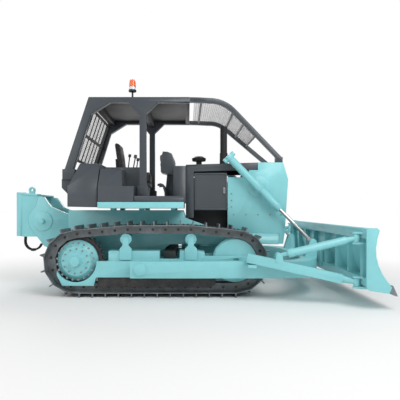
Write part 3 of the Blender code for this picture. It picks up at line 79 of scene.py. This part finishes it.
def finish(name, colour, roughness, metallic=0.0, worn=None, amount=0.3, scale=3.0, grain=60.0,
           bump=0.02, coat=0.0):
    """A material with patches of the worn colour, uneven gloss and a fine grain, from object coordinates."""
    made = bpy.data.materials.new(name)
    made.use_nodes = True
    tree = made.node_tree
    shader = tree.nodes["Principled BSDF"]
    shader.inputs["Metallic"].default_value = metallic
    shader.inputs["Coat Weight"].default_value = coat
    where = add_node(tree, "ShaderNodeTexCoord").outputs["Object"]
    patches = add_node(tree, "ShaderNodeTexNoise", [("Scale", scale), ("Detail", 8.0), ("Roughness", 0.62)],
                       [("Vector", where)]).outputs["Fac"]
    spread = add_node(tree, "ShaderNodeMapRange",
                      [("From Min", PATCHES_FROM), ("From Max", PATCHES_TO), ("To Max", amount)],
                      [("Value", patches)])
    tint = add_node(tree, "ShaderNodeMix")
    tint.data_type = "RGBA"
    tint.inputs["A"].default_value = srgb(colour)
    tint.inputs["B"].default_value = srgb(worn or colour)
    tree.links.new(spread.outputs["Result"], tint.inputs["Factor"])
    tree.links.new(tint.outputs["Result"], shader.inputs["Base Color"])
    gloss = add_node(tree, "ShaderNodeMapRange",
                     [("To Min", roughness - SMOOTHER), ("To Max", roughness + ROUGHER)],
                     [("Value", patches)])
    tree.links.new(gloss.outputs["Result"], shader.inputs["Roughness"])
    fine = add_node(tree, "ShaderNodeTexNoise", [("Scale", grain), ("Detail", 3.0)], [("Vector", where)])
    relief = add_node(tree, "ShaderNodeBump", [("Strength", bump * 10), ("Distance", GRAIN_HEIGHT)],
                      [("Height", fine.outputs["Fac"])])
    tree.links.new(relief.outputs["Normal"], shader.inputs["Normal"])
    return made


# Sprayed enamel on steel plate: a soft sheen, a little darker in patches.
TURQUOISE = finish("turquoise_paint", "#86CDD2", 0.38, worn="#6FB3B8", coat=0.15)
# Dark slate enamel on the tanks, boxes and sheet-metal covers.
GREY = finish("slate_grey_paint", "#42494F", 0.40, worn="#363C41", coat=0.1)
# The same dark enamel, a shade darker, on the canopy and its guards.
ROOF = finish("canopy_grey_paint", "#3B4248", 0.42, worn="#30363B", coat=0.1)
# Semi-gloss black paint, on what is bolted on and on woven wire.
BLACK = finish("black_paint", "#17191A", 0.48, worn="#26282A")
# Rough castings under dark paint. The exhaust, the pre-cleaner and the equalizer bar share it.
CAST = finish("cast_iron_paint", "#202325", 0.60, worn="#33373A", grain=140.0, bump=0.06)
# Rolled track shoes, worn bright in patches by the ground.
SHOE = finish("worn_track_steel", "#66696A", 0.44, 0.35, "#8A949A", 0.8, 5.0, 45.0, 0.06)
# Oiled chain steel, nearly black, a little polished where links rub.
CHAIN = finish("oiled_chain_steel", "#3C3B3D", 0.45, 0.5, "#5E5A55", 0.7, 9.0, 70.0, 0.05)
# Bare edge steel, ground bright by soil.
EDGE_STEEL = finish("worn_edge_steel", "#7D868B", 0.40, 0.6, "#B4BABD", 0.8, 4.0, 50.0, 0.05)
# Polished hard chrome on the lift rods.
CHROME = finish("chromed_rod", "#C9CBCB", 0.14, 1.0, "#A9ABAB", 0.3, 6.0, 90.0, 0.005)
# Zinc-plated fasteners and latches, gone dull in patches.
ZINC = finish("zinc_plated_bolts", "#969C9F", 0.36, 0.7, "#6D7376", 0.6, 30.0, 120.0, 0.02)
# Matt seat vinyl with a fine moulded grain.
VINYL = finish("seat_vinyl", "#1D1E20", 0.56, worn="#2B2C2E", scale=8.0, grain=420.0, bump=0.08)
# Extruded hose rubber: matt and black.
RUBBER = finish("black_rubber", "#111212", 0.62, worn="#1F1F1F", scale=9.0, grain=260.0, bump=0.05)
# Galvanised wire, dull and streaked, on the winch drum.
ROPE = finish("galvanised_wire_rope", "#8B8D8A", 0.45, 0.7, "#5F605D", 0.8, 20.0, 160.0, 0.08)
# Moulded clear plastics with a smooth skin: the beacon's dome and its lower lens.
AMBER = finish("amber_lens", "#E8662A", 0.16, worn="#D9581F", bump=0.004, coat=0.6)
CLEAR = finish("clear_lens", "#DDE3E4", 0.10, worn="#C7CFD1", bump=0.004, coat=0.6)
# Painted shade: almost no light comes back out of a punched hole, so each hole is a near-black disc.
HOLE_SHADE = finish("shadowed_hole", "#050606", 0.85)
# Printed pale faces of the gauges.
DIAL = finish("dial_face", "#DADDDC", 0.35, worn="#C9CCCB")

FINISH_BY_START = (
    (("engine_block", "transmission", "equalizer", "exhaust", "air_pre"), CAST),
    (("radiator_core", "rear_screen", "seat_base", "canopy_roof"), BLACK),
    (("seat_",), VINYL),
    (("winch_hoses",), RUBBER),
    (("winch_drum",), ROPE),
    (("lift_rod",), CHROME),
    (("cutting_edge",), EDGE_STEEL),
    (("track_rollers", "sprocket"), CHAIN),
    (("track_left", "track_right"), SHOE),
    (("canopy", "brush_guard"), ROOF),
    (("step_plate", "engine_hood", "engine_door", "fuel_tank", "side_box", "console", "instrument",
      "front_grille"), GREY),
    (("beacon",), AMBER),
)


def paint(obj, material):
    obj.data.materials.clear()
    obj.data.materials.append(material)


# ---- every CAD piece: its finish, and edges softened as a press brake or a mould leaves them ----
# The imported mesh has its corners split, so Weld joins them before the Bevel. Thin pieces get a finer edge.
SAME_CORNER = 0.00005
EDGE_RADIUS, FINE_EDGE_RADIUS = 0.005, 0.0015
SHARPER_THAN = radians(35)
FINE_EDGES = ("track_left", "track_right", "winch_drum", "rear_screen", "winch_hoses", "front_grille")
for name, obj in nodes.items():
    fine = name in FINE_EDGES
    paint(obj, next((material for starts, material in FINISH_BY_START if name.startswith(starts)), TURQUOISE))
    weld = obj.modifiers.new("Join corners", "WELD")
    weld.merge_threshold = SAME_CORNER
    soft = obj.modifiers.new("Soft edges", "BEVEL")
    soft.width = FINE_EDGE_RADIUS if fine else EDGE_RADIUS
    soft.segments = 1 if fine else 2
    soft.limit_method = "ANGLE"
    soft.angle_limit = SHARPER_THAN
    soft.harden_normals = not fine
    if not fine:
        obj.data.polygons.foreach_set("use_smooth", [True] * len(obj.data.polygons))


# ---- shapes for the added pieces ----
def at(x, y, z):
    """A point in the row frame, with x from the sprocket's axle."""
    return Vector((x - ORIGIN_X, y, z))


class Shape:
    """One added piece, put together from simple closed solids."""

    def __init__(self):
        self.mesh = bmesh.new()

    def rod(self, start, end, radius, sides=12, end_radius=None):
        axis = end - start
        place = Matrix.Translation((start + end) / 2) @ axis.to_track_quat("Z", "Y").to_matrix().to_4x4()
        bmesh.ops.create_cone(self.mesh, cap_ends=True, segments=sides, radius1=radius,
                              radius2=radius if end_radius is None else end_radius,
                              depth=axis.length, matrix=place)

    def block(self, centre, size):
        place = Matrix.Translation(centre) @ Matrix.Diagonal((*size, 1))
        bmesh.ops.create_cube(self.mesh, size=1, matrix=place)

    def ball(self, centre, radius, stretch=(1, 1, 1)):
        place = Matrix.Translation(centre) @ Matrix.Diagonal((*stretch, 1))
        bmesh.ops.create_uvsphere(self.mesh, u_segments=16, v_segments=10, radius=radius, matrix=place)

    def bolt(self, place, out, radius=0.016):
        """A washer and a hexagonal head, standing on the surface at place and facing out."""
        out = Vector(out).normalized()
        self.rod(place - out * 0.004, place + out * 0.003, radius * 1.35, 16)
        self.rod(place + out * 0.002, place + out * radius * 0.8, radius, 6)

    def bolt_ring(self, centre, out, ring, count, radius=0.016, start=0.0):
        out = Vector(out).normalized()
        across = out.orthogonal().normalized()
        other = out.cross(across)
        for k in range(count):
            angle = start + 2 * pi * k / count
            self.bolt(centre + across * ring * cos(angle) + other * ring * sin(angle), out, radius)

    def line(self, points, radius, sides=8):
        for a, b in zip(points, points[1:]):
            self.rod(a, b, radius, sides)
        for point in points[1:-1]:
            bmesh.ops.create_icosphere(self.mesh, subdivisions=1, radius=radius * 1.02,
                                       matrix=Matrix.Translation(point))

    def done(self, name, material, body, smooth=False):
        data = bpy.data.meshes.new(name)
        bmesh.ops.recalc_face_normals(self.mesh, faces=self.mesh.faces)
        self.mesh.to_mesh(data)
        self.mesh.free()
        obj = bpy.data.objects.new(name, data)
        bpy.context.scene.collection.objects.link(obj)
        if smooth:
            data.polygons.foreach_set("use_smooth", [True] * len(data.polygons))
            data.set_sharp_from_angle(angle=radians(40))
        paint(obj, material)
        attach(obj, body)
        return obj

# ---- the track's loop, laid out as in the CAD ----
WHEELBASE = 2.67
SHOE_PITCH = 0.216
SHOE_THICKNESS = 0.016
LINK_HEIGHT = 0.129
PIN_RADIUS_ON_WHEEL = 0.446
CARRIER_RADIUS = 0.098
CARRIER_X = (0.82, 1.92)
CARRIER_Z = 0.950
AXLE_Z = 0.5905


def circle_tangent(a, b):
    """Where the outer line over two circles (x, z, radius) touches each, going forward above them."""
    dx, dz, dr = b[0] - a[0], b[1] - a[1], a[2] - b[2]
    length = hypot(dx, dz)
    angle = atan2(dz, dx) + atan2(sqrt(length**2 - dr**2), dr)
    return [(c[0] + c[2] * cos(angle), c[1] + c[2] * sin(angle), angle) for c in (a, b)]


def pin_line():
    """The closed line through the track's pins, as (x, z) points a pitch apart, forward along the top."""
    sprocket = (0, AXLE_Z, PIN_RADIUS_ON_WHEEL)
    idler = (WHEELBASE, AXLE_Z, PIN_RADIUS_ON_WHEEL)
    over = [sprocket] + [(x, CARRIER_Z, CARRIER_RADIUS + LINK_HEIGHT / 2) for x in CARRIER_X] + [idler]
    line = []
    tangents = [circle_tangent(a, b) for a, b in zip(over, over[1:])]
    arrive = 3 * pi / 2
    for i, wheel in enumerate(over):
        leave = tangents[i][0][2] if i < len(tangents) else -pi / 2
        steps = 48 if i in (0, len(over) - 1) else 4
        line += [(wheel[0] + wheel[2] * cos(arrive + (leave - arrive) * k / steps),
                  wheel[1] + wheel[2] * sin(arrive + (leave - arrive) * k / steps)) for k in range(steps + 1)]
        arrive = tangents[i][1][2] if i < len(tangents) else None
    lengths = [hypot(b[0] - a[0], b[1] - a[1]) for a, b in zip(line, line[1:] + line[:1])]
    count = round(sum(lengths) / SHOE_PITCH)
    pitch = sum(lengths) / count
    points, travelled, wanted = [], 0.0, pitch / 2
    for (a, b), length in zip(zip(line, line[1:] + line[:1]), lengths):
        while travelled + length >= wanted and len(points) < count:
            share = (wanted - travelled) / length
            points.append((a[0] + (b[0] - a[0]) * share, a[1] + (b[1] - a[1]) * share))
            wanted += pitch
        travelled += length
    return points


def offset_loop(points, distance):
    """The loop's sides moved outward by a distance, which is inward if it is negative."""
    moved = []
    for i, point in enumerate(points):
        arrive = (Vector(point) - Vector(points[i - 1])).normalized()
        leave = (Vector(points[(i + 1) % len(points)]) - Vector(point)).normalized()
        along = (arrive + leave).normalized()
        mitred = distance / along.dot(arrive)
        moved.append((point[0] - along.y * mitred, point[1] + along.x * mitred))
    return moved


# ---- track shoes and chain ----
# Four bolts hold each shoe to the two link bars, and a pin with its bushing joins each pair of links.
TRACK_Y = 1.0
LINK_SPACING = 0.17
SHOE_BOLT_RADIUS = 0.012
SHOE_BOLT_SHARES = (0.42, 0.72)  # how far along each shoe its two rows of bolts are
PIN_RADIUS, PIN_HALF = 0.024, 0.114
BUSHING_RADIUS, BUSHING_HALF = 0.036, 0.058
pins = pin_line()
shoe_tops = offset_loop(pins, LINK_HEIGHT / 2 + SHOE_THICKNESS)
for side, label in zip(SIDES, ("right", "left")):
    bolts = Shape()
    joints = Shape()
    for i, (x, z) in enumerate(shoe_tops):
        after = Vector(shoe_tops[(i + 1) % len(shoe_tops)])
        along = after - Vector((x, z))
        out = Vector((-along.y, 0, along.x)).normalized()
        for share in SHOE_BOLT_SHARES:
            spot = Vector((x, z)) + along * share
            for y in (-0.5, 0.5):
                bolts.bolt(at(spot.x, side * TRACK_Y + y * LINK_SPACING, spot.y), out, SHOE_BOLT_RADIUS)
        for half, radius, sides in ((PIN_HALF, PIN_RADIUS, 14), (BUSHING_HALF, BUSHING_RADIUS, 16)):
            ends = [at(pins[i][0], side * TRACK_Y + reach, pins[i][1]) for reach in (-half, half)]
            joints.rod(*ends, radius, sides)
    bolts.done(f"shoe_bolts_{label}", CHAIN, "root")
    joints.done(f"track_pins_{label}", CHAIN, "root", True)

# ---- bolted covers of the final drives, and the trunnion caps ----
# Two rings of bolts hold the drive's cover, and four hold the cap over the push frame's pin.
DRIVE_FACE_Y = 1.226
TRUNNION_X, TRUNNION_FACE_Y, TRUNNION_Z = 1.105, 1.500, 0.500
for side, label in zip(SIDES, ("right", "left")):
    bolts = Shape()
    out = (0, side, 0)
    cover = at(0, side * DRIVE_FACE_Y, AXLE_Z)
    bolts.bolt_ring(cover, out, 0.305, 20, 0.014)
    bolts.bolt_ring(cover, out, 0.205, 12, 0.012, 0.2)
    bolts.bolt_ring(at(TRUNNION_X, side * TRUNNION_FACE_Y, TRUNNION_Z), out, 0.045, 4, 0.011)
    bolts.done(f"drive_bolts_{label}", ZINC, "root")

# ---- engine doors: punched holes in the recessed panel, and the latch ----
# The holes are staggered rows of shallow discs painted near black for the shade inside each hole, and the
# latch is a plate with a round lock and a handle.
PANEL_Y = 0.565
HOLE_RADIUS, HOLE_COLUMN, HOLE_ROW = 0.0095, 0.034, 0.033
FIRST_HOLE_X, FIRST_HOLE_Z = 2.060, 1.520
LATCH_X, LATCH_Z = 2.53, 1.80
for side, label in zip(SIDES, ("right", "left")):
    holes = Shape()
    face = side * PANEL_Y
    for row in range(17):
        for column in range(14):
            x = FIRST_HOLE_X + column * HOLE_COLUMN + (HOLE_COLUMN / 2 if row % 2 else 0)
            z = FIRST_HOLE_Z + row * HOLE_ROW
            holes.rod(at(x, face - side * 0.001, z), at(x, face + side * 0.0012, z), HOLE_RADIUS, 8)
    latch = Shape()
    latch.block(at(LATCH_X, side * 0.583, LATCH_Z), (0.040, 0.012, 0.110))
    latch.rod(at(LATCH_X, side * 0.585, LATCH_Z), at(LATCH_X, side * 0.600, LATCH_Z), 0.013, 12)
    latch.block(at(LATCH_X, side * 0.598, LATCH_Z - 0.025), (0.014, 0.008, 0.060))
    holes.done(f"door_holes_{label}", HOLE_SHADE, f"engine_door_{label}")
    latch.done(f"door_latch_{label}", ZINC, f"engine_door_{label}")

# ---- woven wire on the canopy's rear screen ----
# It leans with the bars that it lies on, and its upright wires are closer than its cross wires.
SCREEN_WIRE_RADIUS = 0.0022
SCREEN_UPRIGHTS, SCREEN_CROSSES = 44, 28
screen_low, screen_high = (Vector(corner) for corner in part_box("rear_screen"))


def on_screen(y, share):
    """A point on the leaning screen, share of the way up from its foot."""
    lean = screen_high.x - screen_low.x - 0.030
    return Vector((screen_low.x + 0.012 + lean * share, y,
                   screen_low.z + 0.03 + (screen_high.z - screen_low.z - 0.06) * share))


wire = Shape()
reach = screen_high.y - 0.03
for k in range(SCREEN_UPRIGHTS + 1):
    y = -reach + 2 * reach * k / SCREEN_UPRIGHTS
    wire.rod(on_screen(y, 0), on_screen(y, 1), SCREEN_WIRE_RADIUS, 5)
for k in range(SCREEN_CROSSES + 1):
    share = k / SCREEN_CROSSES
    wire.rod(on_screen(-reach, share), on_screen(reach, share), SCREEN_WIRE_RADIUS, 5)
wire.done("rear_screen_wire", BLACK, "root")

# ---- woven wire under the brush guard's rails ----
# The wires along the machine follow the rails' bend and draw in with them. The others run straight across.
GUARD_WIRE_RADIUS = 0.0024
GUARD_WIRE_STEP = 0.045
BEND_X, BEND_Z, BEND_RADIUS = 2.30, 2.78, 0.546


def rail_point(x, z):
    """x, half the guard's width there, and z."""
    return x, 0.935 - (x - 2.3) / 1.27 * 0.40, z


rail = [rail_point(x, z) for x, z in ((1.98, 3.340), (2.14, 3.338), (2.30, 3.326))]
for k in range(1, 7):
    angle = radians(90 - 43 * k / 6)
    rail.append(rail_point(BEND_X + BEND_RADIUS * cos(angle), BEND_Z + BEND_RADIUS * sin(angle)))
rail += [rail_point(x, z) for x, z in ((2.80, 3.076), (2.98, 2.906), (3.10, 2.795))]
guard = Shape()
for k in range(41):
    share = -1 + 2 * k / 40
    guard.line([at(x, share * half, z) for x, half, z in rail], GUARD_WIRE_RADIUS, 5)
for (x0, y0, z0), (x1, y1, z1) in zip(rail, rail[1:]):
    steps = max(1, round(hypot(x1 - x0, z1 - z0) / GUARD_WIRE_STEP))
    for k in range(steps):
        share = k / steps
        x, half, z = x0 + (x1 - x0) * share, y0 + (y1 - y0) * share, z0 + (z1 - z0) * share
        guard.rod(at(x, -half, z), at(x, half, z), GUARD_WIRE_RADIUS, 5)
guard.done("brush_guard_wire", BLACK, "root")

# ---- bolts on the radiator guard's sides and the side boxes ----
# A level row on each side of the guard, a short column near its rear edge, and two bolts on each box.
GUARD_FACE_Y, BOX_FACE_Y = 0.601, 1.151
bolts = Shape()
for side in SIDES:
    out = (0, side, 0)
    for x in (2.70, 2.92, 3.14, 3.36, 3.56):
        bolts.bolt(at(x, side * GUARD_FACE_Y, 1.36), out, 0.011)
    for z in (1.50, 1.62, 1.74):
        bolts.bolt(at(2.66, side * GUARD_FACE_Y, z), out, 0.011)
    for x in (0.42, 0.90):
        bolts.bolt(at(x, side * BOX_FACE_Y, 1.62), out, 0.010)
bolts.done("body_bolts", ZINC, "root")

# ---- bolts that hold the cutting edge to the blade ----
# One row across the blade, facing forward and a little up.
EDGE_BOLTS = 19
EDGE_BOLT_X, EDGE_BOLT_Z = 4.80, 0.31
EDGE_BOLT_REACH = 2.02
edge = Shape()
for k in range(EDGE_BOLTS):
    y = -EDGE_BOLT_REACH + 2 * EDGE_BOLT_REACH * k / (EDGE_BOLTS - 1)
    edge.bolt(at(EDGE_BOLT_X, y, EDGE_BOLT_Z), (0.97, 0, 0.2), 0.014)
edge.done("edge_bolts", EDGE_STEEL, "blade_frame")

# ---- gauges on the instrument pod ----
# Pale faces in black rims, each as (y, z, radius).
GAUGES = ((-0.14, 2.44, 0.045), (0.0, 2.46, 0.055), (0.14, 2.44, 0.045), (-0.07, 2.33, 0.030),
          (0.07, 2.33, 0.030))
dials = Shape()
rims = Shape()
for y, z, radius in GAUGES:
    rims.rod(at(1.352, y, z), at(1.335, y, z), radius * 1.18, 24)
    dials.rod(at(1.340, y, z), at(1.333, y, z), radius, 24)
rims.done("gauge_rims", BLACK, "root")
dials.done("gauge_faces", DIAL, "root")

# ---- seat: foam under vinyl, so its edges are much rounder than the steel's ----
for name in ("seat_cushion", "seat_back"):
    soft = nodes[name].modifiers["Soft edges"]
    soft.width = 0.034
    soft.segments = 5

# ---- beacon: a pole with its flange, a clear lower lens and an orange dome ----
# It stands on the canopy's roof. The three pieces together are shown in place of the CAD's beacon.
BEACON_X, BEACON_Y = 0.862, -0.60
FOOT_Z, TOP_Z = 3.395, 3.818


def beacon_rod(shape, start_z, end_z, radius, sides, end_radius=None):
    shape.rod(at(BEACON_X, BEACON_Y, start_z), at(BEACON_X, BEACON_Y, end_z), radius, sides, end_radius)


pole = Shape()
beacon_rod(pole, FOOT_Z, FOOT_Z + 0.018, 0.060, 24)
beacon_rod(pole, FOOT_Z + 0.01, TOP_Z - 0.215, 0.017, 16)
beacon_rod(pole, TOP_Z - 0.225, TOP_Z - 0.195, 0.070, 28)
pole.done("beacon_pole", BLACK, "root", True)
lens = Shape()
beacon_rod(lens, TOP_Z - 0.197, TOP_Z - 0.140, 0.060, 28)
lens.done("beacon_lens", CLEAR, "root", True)
dome = Shape()
beacon_rod(dome, TOP_Z - 0.142, TOP_Z - 0.035, 0.064, 28, 0.056)
dome.ball(at(BEACON_X, BEACON_Y, TOP_Z - 0.038), 0.056, (1, 1, 0.66))
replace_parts(dome.done("beacon_dome", AMBER, "root", True), "beacon")


# ---- studio floor: pale and matt, turning into plain white away from the machine ----
# No horizon shows, and the machine's shadow stays. The floor lies just under the grousers.
FLOOR_HALF = 60
FLOOR_Z = -0.002
FADE_FROM, FADE_TO = 2.8, 7.5  # from the machine's middle
WHITE = (1, 1, 1, 1)
shape = bmesh.new()
bmesh.ops.create_grid(shape, x_segments=1, y_segments=1, size=FLOOR_HALF)
data = bpy.data.meshes.new("floor")
shape.to_mesh(data)
shape.free()
floor = bpy.data.objects.new("floor", data)
bpy.context.scene.collection.objects.link(floor)
floor.location.z = FLOOR_Z
matt = bpy.data.materials.new("floor_matt")
matt.use_nodes = True
tree = matt.node_tree
shader = tree.nodes["Principled BSDF"]
shader.inputs["Base Color"].default_value = srgb("#F4F4F4")
shader.inputs["Roughness"].default_value = 0.9
distance = add_node(tree, "ShaderNodeVectorMath")
distance.operation = "LENGTH"
tree.links.new(add_node(tree, "ShaderNodeTexCoord").outputs["Object"], distance.inputs[0])
fade = add_node(tree, "ShaderNodeMapRange", [("From Min", FADE_FROM), ("From Max", FADE_TO)],
                [("Value", distance.outputs["Value"])])
fade.interpolation_type = "SMOOTHSTEP"
white = add_node(tree, "ShaderNodeEmission", [("Color", WHITE)])
blend = add_node(tree, "ShaderNodeMixShader", [], [("Fac", fade.outputs["Result"])])
tree.links.new(shader.outputs["BSDF"], blend.inputs[1])
tree.links.new(white.outputs["Emission"], blend.inputs[2])
tree.links.new(blend.outputs["Shader"], tree.nodes["Material Output"].inputs["Surface"])
paint(floor, matt)

# ---- studio light: an even sky, plain white where the camera sees it, and three large soft lamps ----
SKY_STRENGTH = 0.50
LAMP_SIZE = 5.0
world = bpy.data.worlds.new("studio")
bpy.context.scene.world = world
world.use_nodes = True
tree = world.node_tree
sky = tree.nodes["Background"]
sky.inputs["Color"].default_value = WHITE
sky.inputs["Strength"].default_value = SKY_STRENGTH
seen = add_node(tree, "ShaderNodeBackground", [("Color", WHITE), ("Strength", 1.0)])
light_path = add_node(tree, "ShaderNodeLightPath")
choose = add_node(tree, "ShaderNodeMixShader", [], [("Fac", light_path.outputs["Is Camera Ray"])])
tree.links.new(sky.outputs["Background"], choose.inputs[1])
tree.links.new(seen.outputs["Background"], choose.inputs[2])
tree.links.new(choose.outputs["Shader"], tree.nodes["World Output"].inputs["Surface"])


def area_light(name, place, aim, energy):
    data = bpy.data.lights.new(name, "AREA")
    data.size = LAMP_SIZE
    data.energy = energy
    obj = bpy.data.objects.new(name, data)
    obj.location = place
    obj.rotation_euler = (Vector(aim) - Vector(place)).to_track_quat("-Z", "Y").to_euler()
    bpy.context.scene.collection.objects.link(obj)


area_light("key", (3.5, -6.5, 7.0), (0.2, 0, 1.5), 430)
area_light("fill", (-6.5, -5.0, 4.5), (0, 0, 1.4), 130)
area_light("back", (-2.0, 7.0, 6.0), (0, 0, 1.6), 300)

# ---- camera: level, square to the machine's near side and about 8 m off ----
cam_data = bpy.data.cameras.new("camera")
camera = bpy.data.objects.new("camera", cam_data)
bpy.context.scene.collection.objects.link(camera)
camera.location = (0.100, -7.97, 1.457)
camera.rotation_euler = (radians(90), 0, 0)
cam_data.sensor_width = 36
cam_data.lens = 36.513
cam_data.shift_x = 0.03
cam_data.shift_y = 0.02325
bpy.context.scene.camera = camera
bpy.context.scene.view_settings.view_transform = "Standard"
